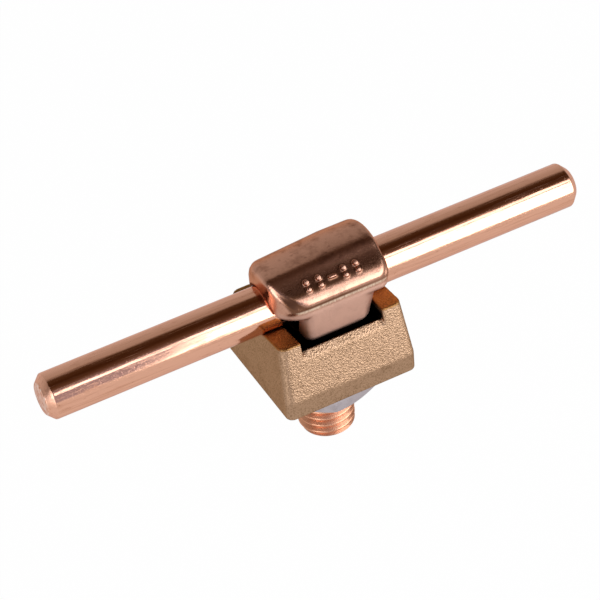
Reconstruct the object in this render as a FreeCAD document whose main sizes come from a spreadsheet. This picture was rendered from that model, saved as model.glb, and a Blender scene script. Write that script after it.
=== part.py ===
import FreeCAD, Part
import math
import os
import Sketcher

# Round conductor connector: the conductor lies across a cast saddle, a flat eye bolt goes
# round it and down through the saddle, and a nut under the saddle draws the eye down.
# X runs along the conductor, Y from front to back, Z up. The origin is on the conductor's
# axis, straight above the shank. Lengths are in millimetres.
doc = FreeCAD.newDocument("round_conductor_connector")
sizes = doc.addObject("Spreadsheet::Sheet", "sizes")

driving_sizes = [
    ("conductor_diameter", 8.0, "round conductor, across"),
    ("conductor_length", 100.0, "round conductor, end to end"),
    ("conductor_chamfer", 0.9, "broken edge at each end of the conductor"),
    ("seat_gap", 0.12, "between the conductor and the crown of the eye"),
    ("cradle_gap", 0.02, "between the conductor and the bottom of the cradle"),
    ("eye_spare", 1.0, "eye radius beyond the conductor's radius"),
    ("eye_side_wall", 2.8, "front and back wall of the eye"),
    ("eye_floor", 1.1, "metal under the eye, down to the shoulder's lower end"),
    ("crown_back_wall", 3.4, "metal above the eye, at the top of the crown"),
    ("crown_overhang", 3.4, "how far the crown stands out past the legs, each end"),
    ("crown_underside", 0.8, "height of the crown's underside above the conductor's axis"),
    ("crown_left_corner", 5.5, "corner radius of the crown's left end, seen from above"),
    ("crown_right_corner", 2.2, "corner radius of the crown's right end, seen from above"),
    ("crown_upper_break", 0.5, "chamfer on the crown's upper edge"),
    ("crown_lower_break", 0.5, "chamfer on the crown's lower edge"),
    ("leg_margin", 1.7, "half width of a leg beyond the shank's radius"),
    ("leg_corner_round", 2.0, "rounding of a leg's upright corners"),
    ("shoulder_front_height", 3.4, "height of the sloped shoulder, front and back"),
    ("shoulder_end_height", 4.8, "height of the sloped shoulder, each end"),
    ("shoulder_corner_height", 3.6, "height of the cone that trims the shoulder's corners"),
    ("shoulder_step", 0.25, "ledge between shoulder and shank at the middle of a side"),
    ("shoulder_corner_step", 0.6, "ledge between shoulder and shank at a corner"),
    ("shank_diameter", 10.0, "threaded shank, over the thread"),
    ("shank_chamfer", 0.9, "chamfer at the shank's free end"),
    ("thread_stick_out", 9.8, "shank beyond the nut"),
    ("thread_above_nut", 0.3, "thread above the nut's upper face"),
    ("thread_pitch", 1.5, "thread, crest to crest"),
    ("thread_depth", 1.0, "thread, crest to root"),
    ("thread_angle", 60.0, "angle between the thread's flanks, in degrees"),
    ("thread_spare", 0.05, "how far the thread's profile reaches outside the shank"),
    ("draw_down_room", 5.5, "free depth in the slot below the shoulder"),
    ("slot_end_clearance", 0.95, "between a leg and the slot's ends"),
    ("slot_side_clearance", 0.8, "between a leg and the slot's front and back"),
    ("slot_corner", 1.5, "corner radius of the slot"),
    ("rim_wall", 0.4, "front and back wall of the slot, at the horns' tops"),
    ("foot_wall", 2.9, "front and back wall of the slot, at the foot"),
    ("horn_length", 3.75, "horn along the conductor, at its top"),
    ("end_draft", 0.9, "how far each end of the saddle leans out down to the foot"),
    ("horn_rise", 1.9, "horn top above the cradle's bottom"),
    ("cradle_half_width", 3.2, "half width of the round groove in the cradle"),
    ("notch_depth", 1.9, "depth of the front and back notches below the horns"),
    ("saddle_floor", 3.3, "floor of the slot, down to the nut"),
    ("foot_height", 3.5, "upright band round the saddle's foot"),
    ("saddle_corner", 1.3, "rounding of the saddle's four upright corners"),
    ("horn_edge_break", 0.5, "chamfer on the horns' outer top edges"),
    ("foot_edge_break", 0.3, "chamfer on the saddle's lower edge"),
    ("shank_hole_clearance", 0.5, "between the shank and its hole in the saddle"),
    ("nut_across_flats", 17.0, "nut, across flats"),
    ("nut_height", 5.2, "nut, along the shank"),
    ("nut_fit", 0.05, "between the nut's bore and the shank"),
    ("nut_face_inset", 0.4, "how far a nut's round face stays inside its flats"),
    ("nut_chamfer_angle", 30.0, "angle of a nut's corner chamfer, in degrees"),
    ("nut_mouth_chamfer", 0.4, "chamfer at each end of the nut's bore"),
    ("nut_corner_angle", 15.0, "angle of a nut's corner from X, in degrees"),
]

for row, (alias, value, note) in enumerate(driving_sizes, start=1):
    sizes.set("A%d" % row, note)
    sizes.set("B%d" % row, str(value))
    sizes.setAlias("B%d" % row, alias)
doc.recompute()

# Half sizes and heights that follow from the sheet, as expressions
conductor_radius = "(sizes.conductor_diameter / 2)"
shank_radius = "(sizes.shank_diameter / 2)"
eye_radius = f"({conductor_radius} + sizes.eye_spare)"
eye_centre = f"({conductor_radius} + sizes.seat_gap - {eye_radius})"
leg_half_x = f"({shank_radius} + sizes.leg_margin)"
leg_half_y = f"({eye_radius} + sizes.eye_side_wall)"
crown_half_x = f"({leg_half_x} + sizes.crown_overhang)"
crown_radius = f"({eye_radius} + sizes.crown_back_wall)"
shoulder_low = f"({eye_centre} - {eye_radius} - sizes.eye_floor)"
slot_half_x = f"({leg_half_x} + sizes.slot_end_clearance)"
slot_half_y = f"({leg_half_y} + sizes.slot_side_clearance)"
slot_low = f"({shoulder_low} - sizes.draw_down_room)"
cradle_low = f"(-{conductor_radius} - sizes.cradle_gap)"
cradle_radius = eye_radius
horn_top = f"({cradle_low} + sizes.horn_rise)"
top_half_x = f"({slot_half_x} + sizes.horn_length)"
top_half_y = f"({slot_half_y} + sizes.rim_wall)"
foot_half_x = f"({top_half_x} + sizes.end_draft)"
foot_half_y = f"({slot_half_y} + sizes.foot_wall)"
saddle_low = f"({slot_low} - sizes.saddle_floor)"
foot_top = f"({saddle_low} + sizes.foot_height)"
nut_low = f"({saddle_low} - sizes.nut_height)"
nut_corner_radius = "(sizes.nut_across_flats / sqrt(3))"
shank_low = f"({nut_low} - sizes.thread_stick_out)"


def value_of(text):
    return float(sizes.evalExpression(text))


def new_body(name):
    body = doc.addObject("PartDesign::Body", name)
    body.Label = name
    return body


def new_sketch(body, name, plane, offset="0"):
    """A sketch on one of the body's own origin planes, moved along the plane's normal."""
    sketch = body.newObject("Sketcher::SketchObject", name)
    support = [part for part in body.Origin.OriginFeatures if part.Role == plane]
    sketch.AttachmentSupport = [(support[0], "")]
    sketch.MapMode = "FlatFace"
    sketch.setExpression("AttachmentOffset.Base.z", offset)
    return sketch


def hold_point(sketch, piece, end, across, up):
    """Ties one end of a sketch piece to its distances from the sketch's origin."""
    for kind, distance, axis in (("DistanceX", across, -2), ("DistanceY", up, -1)):
        if distance == "0":
            sketch.addConstraint(Sketcher.Constraint("PointOnObject", piece, end, axis))
        else:
            start = Sketcher.Constraint(kind, -1, 1, piece, end, value_of(distance))
            index = sketch.addConstraint(start)
            sketch.setExpression("Constraints[%d]" % index, distance)


def arc_between(start, stop, radius, side):
    """The short arc from start to stop; side is 1 for a left turn and -1 for a right turn."""
    chord = stop - start
    across = FreeCAD.Vector(-chord.y, chord.x, 0).normalize()
    centre = (start + stop) / 2 + across * side * math.sqrt(radius**2 - chord.Length**2 / 4)
    first, last = (start, stop) if side > 0 else (stop, start)
    angles = [math.atan2(point.y - centre.y, point.x - centre.x) for point in (first, last)]
    circle = Part.Circle(centre, FreeCAD.Vector(0, 0, 1), radius)
    return Part.ArcOfCircle(circle, angles[0], angles[1])


def draw_outline(sketch, corners, arcs=None):
    """A closed outline; arcs holds radius and side for each corner that starts a round stretch."""
    arcs = arcs or {}
    points = [FreeCAD.Vector(value_of(across), value_of(up), 0) for across, up in corners]
    ends = []
    for index, start in enumerate(points):
        stop = points[(index + 1) % len(points)]
        if index in arcs:
            radius, side = arcs[index]
            piece = sketch.addGeometry(arc_between(start, stop, value_of(radius), side))
            ends.append((piece, 1, 2) if side > 0 else (piece, 2, 1))
        else:
            piece = sketch.addGeometry(Part.LineSegment(start, stop))
            ends.append((piece, 1, 2))
    for index, (piece, first, last) in enumerate(ends):
        following, following_first, _ = ends[(index + 1) % len(ends)]
        joint = Sketcher.Constraint("Coincident", piece, last, following, following_first)
        sketch.addConstraint(joint)
        hold_point(sketch, piece, first, *corners[index])
        if index in arcs:
            radius = arcs[index][0]
            held = sketch.addConstraint(Sketcher.Constraint("Radius", piece, value_of(radius)))
            sketch.setExpression("Constraints[%d]" % held, radius)


def draw_round_rectangle(sketch, half_x, half_y, right_corner, left_corner):
    right_x = f"({half_x} - {right_corner})"
    right_y = f"({half_y} - {right_corner})"
    left_x = f"({half_x} - {left_corner})"
    left_y = f"({half_y} - {left_corner})"
    corners = [
        (right_x, f"-{half_y}"),
        (half_x, f"-{right_y}"),
        (half_x, right_y),
        (right_x, half_y),
        (f"-{left_x}", half_y),
        (f"-{half_x}", left_y),
        (f"-{half_x}", f"-{left_y}"),
        (f"-{left_x}", f"-{half_y}"),
    ]
    arcs = {0: right_corner, 2: right_corner, 4: left_corner, 6: left_corner}
    draw_outline(sketch, corners, {index: (radius, 1) for index, radius in arcs.items()})


def draw_rectangle(sketch, half_x, half_y):
    corners = [
        (f"-{half_x}", f"-{half_y}"),
        (half_x, f"-{half_y}"),
        (half_x, half_y),
        (f"-{half_x}", half_y),
    ]
    draw_outline(sketch, corners)


def draw_circle(sketch, radius, across="0", up="0"):
    centre = FreeCAD.Vector(value_of(across), value_of(up), 0)
    circle = Part.Circle(centre, FreeCAD.Vector(0, 0, 1), value_of(radius))
    piece = sketch.addGeometry(circle)
    hold_point(sketch, piece, 3, across, up)
    held = sketch.addConstraint(Sketcher.Constraint("Radius", piece, value_of(radius)))
    sketch.setExpression("Constraints[%d]" % held, radius)


def add_pad(body, name, sketch, length, both_ways=False):
    pad = body.newObject("PartDesign::Pad", name)
    pad.Profile = sketch
    pad.SideType = "Symmetric" if both_ways else "One side"
    pad.setExpression("Length", length)
    doc.recompute()
    return pad


def add_cut(body, kind, name, sketch):
    """A Pocket or Groove whose sizes the caller sets before it calls check_cut."""
    cut = body.newObject(kind, name)
    cut.Profile = sketch
    return cut


def check_cut(cut):
    doc.recompute()
    if cut.Shape.Volume >= cut.BaseFeature.Shape.Volume:
        raise RuntimeError(cut.Name + " takes nothing away")
    return cut


def add_pocket(body, name, sketch, depth):
    pocket = add_cut(body, "PartDesign::Pocket", name, sketch)
    pocket.setExpression("Length", depth)
    return check_cut(pocket)


def add_through_pocket(body, name, sketch):
    pocket = add_cut(body, "PartDesign::Pocket", name, sketch)
    pocket.SideType = "Symmetric"
    pocket.Type = "ThroughAll"
    return check_cut(pocket)


def add_groove(body, name, sketch):
    """Turns the sketch once round the upright axis and takes it away."""
    groove = add_cut(body, "PartDesign::Groove", name, sketch)
    groove.ReferenceAxis = (sketch, ["V_Axis"])
    groove.Angle = 360
    return check_cut(groove)


def add_thread(body, name, sketch, pitch, height):
    """Sweeps the sketch up round the upright axis, right-handed, and takes it away."""
    thread = add_cut(body, "PartDesign::SubtractiveHelix", name, sketch)
    thread.ReferenceAxis = (sketch, ["V_Axis"])
    thread.Mode = "pitch-height-angle"
    thread.setExpression("Pitch", pitch)
    thread.setExpression("Height", height)
    thread.LeftHanded = False
    return check_cut(thread)


def edge_points(edge):
    steps = 4
    span = edge.LastParameter - edge.FirstParameter
    return [edge.valueAt(edge.FirstParameter + span * step / steps) for step in range(steps + 1)]


def along_x(edge):
    points = edge_points(edge)
    return near(points[0].y, points[-1].y) and near(points[0].z, points[-1].z)


def spans_height(edge):
    points = edge_points(edge)
    return abs(points[0].z - points[-1].z) > 1


def edges_where(feature, test):
    """Names of the edges whose points all pass the test."""
    return [
        "Edge%d" % number
        for number, edge in enumerate(feature.Shape.Edges, start=1)
        if all(test(point) for point in edge_points(edge))
    ]


def near(first, second):
    return abs(first - second) < 0.002


def add_dressing(body, kind, name, base, edges, size_name, size):
    """A Fillet or Chamfer on the named edges of the feature before it."""
    if not edges:
        raise RuntimeError(name + " finds no edge")
    dressing = body.newObject(kind, name)
    dressing.Base = (base, edges)
    dressing.setExpression(size_name, size)
    doc.recompute()
    return dressing


def add_fillet(body, name, base, edges, radius):
    return add_dressing(body, "PartDesign::Fillet", name, base, edges, "Radius", radius)


def add_chamfer(body, name, base, edges, size):
    return add_dressing(body, "PartDesign::Chamfer", name, base, edges, "Size", size)


def make_saddle_body():
    """Sand casting: drafted block on an upright foot, open slot, cradle on its two horns."""
    body = new_body("saddle_body")
    foot = new_sketch(body, "foot_outline", "XY_Plane", saddle_low)
    draw_rectangle(foot, foot_half_x, foot_half_y)
    add_pad(body, "foot_band", foot, "sizes.foot_height")
    waist = new_sketch(body, "waist_outline", "XY_Plane", foot_top)
    draw_rectangle(waist, foot_half_x, foot_half_y)
    top = new_sketch(body, "top_outline", "XY_Plane", horn_top)
    draw_rectangle(top, top_half_x, top_half_y)
    block = body.newObject("PartDesign::AdditiveLoft", "drafted_block")
    block.Profile = waist
    block.Sections = [top]
    block.Ruled = True
    doc.recompute()

    least_x = value_of(slot_half_x)
    least_y = value_of(slot_half_y)
    upright = [
        name
        for name in edges_where(block, lambda point: abs(point.x) > least_x and abs(point.y) > least_y)
        if spans_height(block.Shape.getElement(name))
    ]
    block = add_fillet(body, "saddle_corners", block, upright, "sizes.saddle_corner")
    low = value_of(saddle_low)
    rim = edges_where(block, lambda point: near(point.z, low))
    add_chamfer(body, "foot_edge", block, rim, "sizes.foot_edge_break")

    # The cradle is a round groove between two gentle slopes that rise to the horns' edges
    groove_centre = f"({cradle_low} + {cradle_radius})"
    groove_edge = f"({groove_centre} - sqrt({cradle_radius}^2 - sizes.cradle_half_width^2))"
    above = f"({horn_top} + sizes.horn_rise)"
    profile = new_sketch(body, "cradle_profile", "YZ_Plane")
    corners = [
        ("-sizes.cradle_half_width", groove_edge),
        ("sizes.cradle_half_width", groove_edge),
        (top_half_y, horn_top),
        (top_half_y, above),
        (f"-{top_half_y}", above),
        (f"-{top_half_y}", horn_top),
    ]
    draw_outline(profile, corners, {0: (cradle_radius, 1)})
    cradle = add_through_pocket(body, "cradle", profile)

    cradle_bottom = value_of(cradle_low)
    end_line = value_of(top_half_x) - value_of("sizes.saddle_corner") - 0.01
    side_line = value_of(slot_half_y)

    def on_outer_top(point):
        outside = abs(point.x) > end_line or abs(point.y) > side_line
        return point.z > cradle_bottom - 0.01 and outside

    rim = edges_where(cradle, on_outer_top)
    add_chamfer(body, "horn_edges", cradle, rim, "sizes.horn_edge_break")

    slot_outline = new_sketch(body, "slot_outline", "XY_Plane", horn_top)
    draw_round_rectangle(slot_outline, slot_half_x, slot_half_y, "sizes.slot_corner", "sizes.slot_corner")
    add_pocket(body, "slot", slot_outline, f"{horn_top} - {slot_low}")

    notch_low = f"({horn_top} - sizes.notch_depth)"
    notch_outline = new_sketch(body, "notch_outline", "XZ_Plane")
    corners = [
        (f"-{slot_half_x}", notch_low),
        (slot_half_x, notch_low),
        (slot_half_x, above),
        (f"-{slot_half_x}", above),
    ]
    draw_outline(notch_outline, corners)
    add_through_pocket(body, "notches", notch_outline)

    hole_outline = new_sketch(body, "hole_outline", "XY_Plane", slot_low)
    draw_circle(hole_outline, f"({shank_radius} + sizes.shank_hole_clearance)")
    add_pocket(body, "shank_hole", hole_outline, "sizes.saddle_floor")
    return body


def make_eye_bolt():
    """Forging: wide crown, a leg in front and behind, closed eye, sloped shoulder, shank."""
    body = new_body("eye_bolt")
    plan = new_sketch(body, "crown_outline", "XY_Plane", "sizes.crown_underside")
    draw_round_rectangle(
        plan, crown_half_x, leg_half_y, "sizes.crown_right_corner", "sizes.crown_left_corner"
    )
    add_pad(body, "crown_block", plan, crown_radius)

    # The crown's back is round about the conductor's axis, down to its upright front and back
    spring = f"sqrt({crown_radius}^2 - {leg_half_y}^2)"
    outside = f"({crown_radius} + {crown_half_x})"
    above = f"(sizes.crown_underside + {crown_radius})"
    arch = new_sketch(body, "arch_profile", "YZ_Plane")
    corners = [
        (leg_half_y, spring),
        ("0", crown_radius),
        (f"-{leg_half_y}", spring),
        (f"-{outside}", spring),
        (f"-{outside}", above),
        (outside, above),
        (outside, spring),
    ]
    draw_outline(arch, corners, {0: (crown_radius, 1), 1: (crown_radius, 1)})
    arched = add_through_pocket(body, "crown_back", arch)

    underside = value_of("sizes.crown_underside")
    back = value_of(crown_radius)
    crease = [
        name
        for name in edges_where(arched, lambda point: near(math.hypot(point.y, point.z), back))
        if not along_x(arched.Shape.getElement(name))
    ]
    arched = add_chamfer(body, "crown_upper_edge", arched, crease, "sizes.crown_upper_break")
    rim = edges_where(arched, lambda point: near(point.z, underside))
    add_chamfer(body, "crown_lower_edge", arched, rim, "sizes.crown_lower_break")

    ledge = f"({shank_radius} + sizes.shoulder_step)"
    shoulder_front_top = f"({shoulder_low} + sizes.shoulder_front_height)"
    shoulder_end_top = f"({shoulder_low} + sizes.shoulder_end_height)"
    leg_top = "(sizes.crown_underside + sizes.crown_lower_break)"
    leg_outline = new_sketch(body, "leg_outline", "XY_Plane", shoulder_low)
    leg_corner = "sizes.leg_corner_round"
    draw_round_rectangle(leg_outline, leg_half_x, leg_half_y, leg_corner, leg_corner)
    add_pad(body, "legs", leg_outline, f"{leg_top} - {shoulder_low}")

    for side, plane, sign, half, slope_top in (
        ("front", "YZ_Plane", "-", leg_half_y, shoulder_front_top),
        ("back", "YZ_Plane", "", leg_half_y, shoulder_front_top),
        ("left", "XZ_Plane", "-", leg_half_x, shoulder_end_top),
        ("right", "XZ_Plane", "", leg_half_x, shoulder_end_top),
    ):
        wedge = new_sketch(body, side + "_shoulder_profile", plane)
        corners = [
            (f"{sign}{ledge}", shoulder_low),
            (f"{sign}{crown_half_x}", shoulder_low),
            (f"{sign}{crown_half_x}", slope_top),
            (f"{sign}{half}", slope_top),
        ]
        draw_outline(wedge, corners)
        add_through_pocket(body, side + "_shoulder", wedge)

    # A cone trims the four lower corners towards the round shank and runs on past them
    overrun = 1.25
    corner_reach = (
        f"(sqrt(({leg_half_x} - sizes.leg_corner_round)^2"
        f" + ({leg_half_y} - sizes.leg_corner_round)^2) + sizes.leg_corner_round)"
    )
    cone_foot = f"({shank_radius} + sizes.shoulder_corner_step)"
    cone_run = f"(({corner_reach} - {cone_foot}) * {overrun})"
    cone_top = f"({shoulder_low} + sizes.shoulder_corner_height * {overrun})"
    cone = new_sketch(body, "corner_cone_profile", "XZ_Plane")
    corners = [
        (cone_foot, shoulder_low),
        (f"({corner_reach} + {crown_half_x})", shoulder_low),
        (f"({corner_reach} + {crown_half_x})", cone_top),
        (f"({cone_foot} + {cone_run})", cone_top),
    ]
    draw_outline(cone, corners)
    add_groove(body, "corner_cone", cone)

    shank_outline = new_sketch(body, "shank_outline", "XY_Plane", shank_low)
    draw_circle(shank_outline, shank_radius)
    shank_length = f"({shoulder_low} - {shank_low} + sizes.eye_floor / 2)"
    shank = add_pad(body, "shank", shank_outline, shank_length)
    tip = value_of(shank_low)
    tip_edge = edges_where(shank, lambda point: near(point.z, tip))
    add_chamfer(body, "shank_tip", shank, tip_edge, "sizes.shank_chamfer")

    # The thread's profile starts one turn below the tip and ends above the nut
    start = f"({shank_low} - sizes.thread_pitch)"
    root = f"({shank_radius} - sizes.thread_depth)"
    reach = f"({shank_radius} + sizes.thread_spare)"
    half = "((sizes.thread_depth + sizes.thread_spare) * tan(sizes.thread_angle / 2))"
    thread_profile = new_sketch(body, "thread_profile", "XZ_Plane")
    corners = [(root, start), (reach, f"({start} - {half})"), (reach, f"({start} + {half})")]
    draw_outline(thread_profile, corners)
    thread_height = f"{saddle_low} + sizes.thread_above_nut - {start}"
    add_thread(body, "thread", thread_profile, "sizes.thread_pitch", thread_height)

    eye_outline = new_sketch(body, "eye_outline", "YZ_Plane")
    draw_circle(eye_outline, eye_radius, "0", eye_centre)
    add_through_pocket(body, "eye", eye_outline)
    return body


def make_hex_nut():
    """Hexagon nut, chamfered at both faces, turned so that no corner points straight ahead."""
    body = new_body("hex_nut")
    outline = new_sketch(body, "hexagon", "XY_Plane", nut_low)
    angles = [f"(sizes.nut_corner_angle + {60 * number})" for number in range(6)]
    corners = [
        (f"({nut_corner_radius} * cos({angle}))", f"({nut_corner_radius} * sin({angle}))")
        for angle in angles
    ]
    draw_outline(outline, corners)
    add_pad(body, "nut_block", outline, "sizes.nut_height")

    face_radius = "(sizes.nut_across_flats / 2 - sizes.nut_face_inset)"
    reach = f"({nut_corner_radius} + sizes.nut_face_inset)"
    fall = f"(({reach} - {face_radius}) * tan(sizes.nut_chamfer_angle))"
    for end, face, edge in (
        ("upper", saddle_low, f"({saddle_low} - {fall})"),
        ("lower", nut_low, f"({nut_low} + {fall})"),
    ):
        profile = new_sketch(body, end + "_chamfer_profile", "XZ_Plane")
        draw_outline(profile, [(face_radius, face), (reach, face), (reach, edge)])
        add_groove(body, end + "_chamfer", profile)

    bore_outline = new_sketch(body, "bore_outline", "XY_Plane", saddle_low)
    draw_circle(bore_outline, f"({shank_radius} + sizes.nut_fit)")
    bored = add_pocket(body, "bore", bore_outline, "sizes.nut_height")
    bore_radius = value_of(f"({shank_radius} + sizes.nut_fit)")
    mouths = edges_where(
        bored,
        lambda point: near(math.hypot(point.x, point.y), bore_radius)
        and (near(point.z, value_of(saddle_low)) or near(point.z, value_of(nut_low))),
    )
    add_chamfer(body, "bore_mouths", bored, mouths, "sizes.nut_mouth_chamfer")
    return body


def make_round_conductor():
    """Solid round conductor, cut to length, with broken edges."""
    body = new_body("round_conductor")
    outline = new_sketch(body, "conductor_outline", "YZ_Plane")
    draw_circle(outline, conductor_radius)
    rod = add_pad(body, "conductor", outline, "sizes.conductor_length", both_ways=True)
    end = value_of("sizes.conductor_length / 2")
    ends = edges_where(rod, lambda point: near(abs(point.x), end))
    add_chamfer(body, "conductor_ends", rod, ends, "sizes.conductor_chamfer")
    return body


parts = [make_saddle_body(), make_eye_bolt(), make_hex_nut(), make_round_conductor()]

doc.recompute()
for thing in doc.Objects:
    if {"Invalid", "Error"} & set(thing.State):
        raise RuntimeError(thing.Name + " has failed")
for body in parts:
    if body.Shape.isNull() or not body.Shape.isValid() or len(body.Shape.Solids) != 1:
        raise RuntimeError(body.Label + " is not one sound solid")

os.makedirs("parts", exist_ok=True)
for body in parts:
    body.Shape.exportStep("parts/" + body.Label + ".step")
    print(body.Label, round(body.Shape.Volume, 1), "mm3")
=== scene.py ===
import math
import bpy
from mathutils import Matrix, Vector


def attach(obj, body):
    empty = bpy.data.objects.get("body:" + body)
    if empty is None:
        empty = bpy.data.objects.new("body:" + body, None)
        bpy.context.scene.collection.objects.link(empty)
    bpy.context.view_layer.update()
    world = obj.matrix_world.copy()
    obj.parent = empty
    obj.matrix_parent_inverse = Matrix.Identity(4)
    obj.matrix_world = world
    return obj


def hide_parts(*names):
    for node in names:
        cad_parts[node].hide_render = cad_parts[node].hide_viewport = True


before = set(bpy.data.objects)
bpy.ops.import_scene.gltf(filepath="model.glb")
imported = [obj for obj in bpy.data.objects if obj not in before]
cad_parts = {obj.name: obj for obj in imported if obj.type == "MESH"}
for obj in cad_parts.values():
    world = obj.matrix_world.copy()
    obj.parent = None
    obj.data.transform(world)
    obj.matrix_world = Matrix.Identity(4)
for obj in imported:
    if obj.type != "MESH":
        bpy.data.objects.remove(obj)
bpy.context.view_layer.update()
print("frame loaded")

mm = 0.001          # lengths in the dictionaries of pieces and materials are in mm
tiny = 0.01         # places nearer than this count as the same
longEdge = 1.0      # an edge that spans more than this along an axis runs along it
beyond = 1.0        # how far a cutter reaches past what it cuts
cutTolerance = 0.0005   # how near a slicing plane a point counts as on it
smoothStrength = 0.5


# Mesh helpers

def leaveEditMode():
    bpy.ops.object.mode_set(mode="OBJECT")


def deselectAll():
    if bpy.context.object and bpy.context.object.mode != "OBJECT":
        leaveEditMode()
    bpy.ops.object.select_all(action="DESELECT")


def activate(piece):
    deselectAll()
    piece.select_set(True)
    bpy.context.view_layer.objects.active = piece


def takeNew(name):  # names what an operator has just added and settles its place in its mesh
    piece = bpy.context.object
    piece.name = name
    piece.data.name = name
    bpy.ops.object.transform_apply(location=True, rotation=True, scale=True)
    return piece


def addBlock(name, low, high):
    deselectAll()
    middle = [(a + b) / 2 * mm for a, b in zip(low, high)]
    spread = [(b - a) * mm for a, b in zip(low, high)]
    bpy.ops.mesh.primitive_cube_add(size=1, location=middle, scale=spread)
    return takeNew(name)


def addRoundBar(name, radius, low, high, segments=128, radiusAtHigh=None, across=(0, 0), axis="Z"):
    deselectAll()
    middle = (low + high) / 2
    place = (*across, middle) if axis == "Z" else (middle, *across)
    bpy.ops.mesh.primitive_cone_add(
        vertices=segments,
        radius1=radius * mm,
        radius2=(radius if radiusAtHigh is None else radiusAtHigh) * mm,
        depth=(high - low) * mm,
        location=[value * mm for value in place],
        rotation=(0, 0 if axis == "Z" else math.pi / 2, 0),
    )
    return takeNew(name)


def pick(piece, kind, test):  # leaves the piece in edit mode with what passes the test selected
    activate(piece)
    bpy.ops.object.mode_set(mode="EDIT")
    bpy.ops.mesh.select_mode(type=kind)
    bpy.ops.mesh.select_all(action="DESELECT")
    leaveEditMode()
    mesh = piece.data
    if kind == "FACE":
        for face in mesh.polygons:
            face.select = test(face.center / mm, face.normal)
    elif kind == "EDGE":
        for edge in mesh.edges:
            first, second = (mesh.vertices[index].co / mm for index in edge.vertices)
            edge.select = test(first, second)
    else:
        for vertex in mesh.vertices:
            vertex.select = test(vertex.co / mm)
    bpy.ops.object.mode_set(mode="EDIT")


def pickAll(piece):
    pick(piece, "FACE", lambda centre, normal: True)


def isUpright(first, second):
    return abs(first.z - second.z) > longEdge


def roundEdges(piece, test, size, segments):
    pick(piece, "EDGE", test)
    bpy.ops.mesh.bevel(offset=size * mm, segments=segments, affect="EDGES")
    leaveEditMode()


def sliceOff(piece, point, outward):  # takes away what lies beyond a plane and closes the cut
    pickAll(piece)
    bpy.ops.mesh.bisect(
        plane_co=Vector(point) * mm,
        plane_no=Vector(outward).normalized(),
        use_fill=True,
        clear_outer=True,
        threshold=cutTolerance * mm,
    )
    leaveEditMode()


def finishWith(piece, kind, **settings):  # adds a modifier and applies it
    activate(piece)
    modifier = piece.modifiers.new(kind.lower(), kind)
    for name, value in settings.items():
        setattr(modifier, name, value)
    bpy.ops.object.modifier_apply(modifier=modifier.name)


def combine(piece, other, operation, solver="EXACT"):
    finishWith(piece, "BOOLEAN", operation=operation, object=other, solver=solver)
    bpy.data.objects.remove(other, do_unlink=True)


def coverEvenly(piece, voxel):
    finishWith(piece, "REMESH", mode="VOXEL", voxel_size=voxel * mm, use_smooth_shade=True)


def wearDown(piece, rounds):
    finishWith(piece, "SMOOTH", factor=smoothStrength, iterations=rounds)


def breakEdges(piece, size):  # rounds every edge that is sharper than an angle
    finishWith(
        piece,
        "BEVEL",
        width=size["edgeRound"] * mm,
        segments=size["edgeSteps"],
        limit_method="ANGLE",
        angle_limit=math.radians(size["edgeAngle"]),
    )


def shadeSmooth(piece, angle):
    activate(piece)
    bpy.ops.object.shade_smooth_by_angle(angle=math.radians(angle))


# Materials

class Wire:  # a node's output, on which sums read as sums
    def __init__(self, sheet, socket):
        self.sheet = sheet
        self.socket = socket

    def __add__(self, other):
        return self.sheet.maths("ADD", self, other)

    def __radd__(self, other):
        return self.sheet.maths("ADD", other, self)

    def __sub__(self, other):
        return self.sheet.maths("SUBTRACT", self, other)

    def __rsub__(self, other):
        return self.sheet.maths("SUBTRACT", other, self)

    def __mul__(self, other):
        return self.sheet.maths("MULTIPLY", self, other)

    def __rmul__(self, other):
        return self.sheet.maths("MULTIPLY", other, self)

    def __abs__(self):
        return self.sheet.maths("ABSOLUTE", self, 0.0)


class Sheet:  # the nodes of one material or of the world
    def __init__(self, owner):
        owner.use_nodes = True
        self.tree = owner.node_tree
        self.tree.nodes.clear()

    def node(self, kind, settings=None, values=None, out=0):
        made = self.tree.nodes.new(kind)
        for name, value in (settings or {}).items():
            if name == "stops":
                self.setStops(made.color_ramp.elements, value)
            else:
                setattr(made, name, value)
        for place, value in (values or {}).items():
            if isinstance(value, Wire):
                self.tree.links.new(value.socket, made.inputs[place])
            else:
                made.inputs[place].default_value = value
        return Wire(self, made.outputs[out]) if len(made.outputs) else made

    def setStops(self, elements, stops):
        elements.remove(elements[0])
        elements[0].position, elements[0].color = stops[0]
        for position, colour in stops[1:]:
            elements.new(position).color = colour

    def maths(self, operation, first, second):
        return self.node("ShaderNodeMath", {"operation": operation}, {0: first, 1: second})

    def ease(self, value, low, high):  # 0 below low, 1 above high, smooth between
        levels = {"Value": value, "From Min": low, "From Max": high, "To Min": 0.0, "To Max": 1.0}
        return self.node("ShaderNodeMapRange", {"interpolation_type": "SMOOTHSTEP"}, levels)

    def past(self, distance, limits):  # the same for a distance, between two limits in mm
        low, high = limits
        return self.ease(distance, low * mm, high * mm)

    def blend(self, factor, first, second):  # a Mix node's sockets 6 and 7 are its two colours
        values = {0: factor, 6: first, 7: second}
        return self.node("ShaderNodeMix", {"data_type": "RGBA"}, values, out=2)

    def place(self, stretch=(1, 1, 1)):
        spot = self.node("ShaderNodeTexCoord", out="Object")
        return self.node("ShaderNodeMapping", values={"Vector": spot, "Scale": stretch})

    def coordinate(self, axis):
        return self.node("ShaderNodeSeparateXYZ", values={0: self.place()}, out=axis)

    # a noise with grains size mm wide, or where low and high are given, how far it has risen
    def pattern(self, size, stretch=(1, 1, 1), detail=2.0, roughness=0.5, low=None, high=None):
        values = {
            "Vector": self.place(stretch),
            "Scale": 1 / (size * mm),
            "Detail": detail,
            "Roughness": roughness,
        }
        noise = self.node("ShaderNodeTexNoise", values=values)
        return noise if low is None else self.ease(noise, low, high)

    def patterns(self, recipes):
        return {name: self.pattern(**recipe) for name, recipe in recipes.items()}


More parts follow.
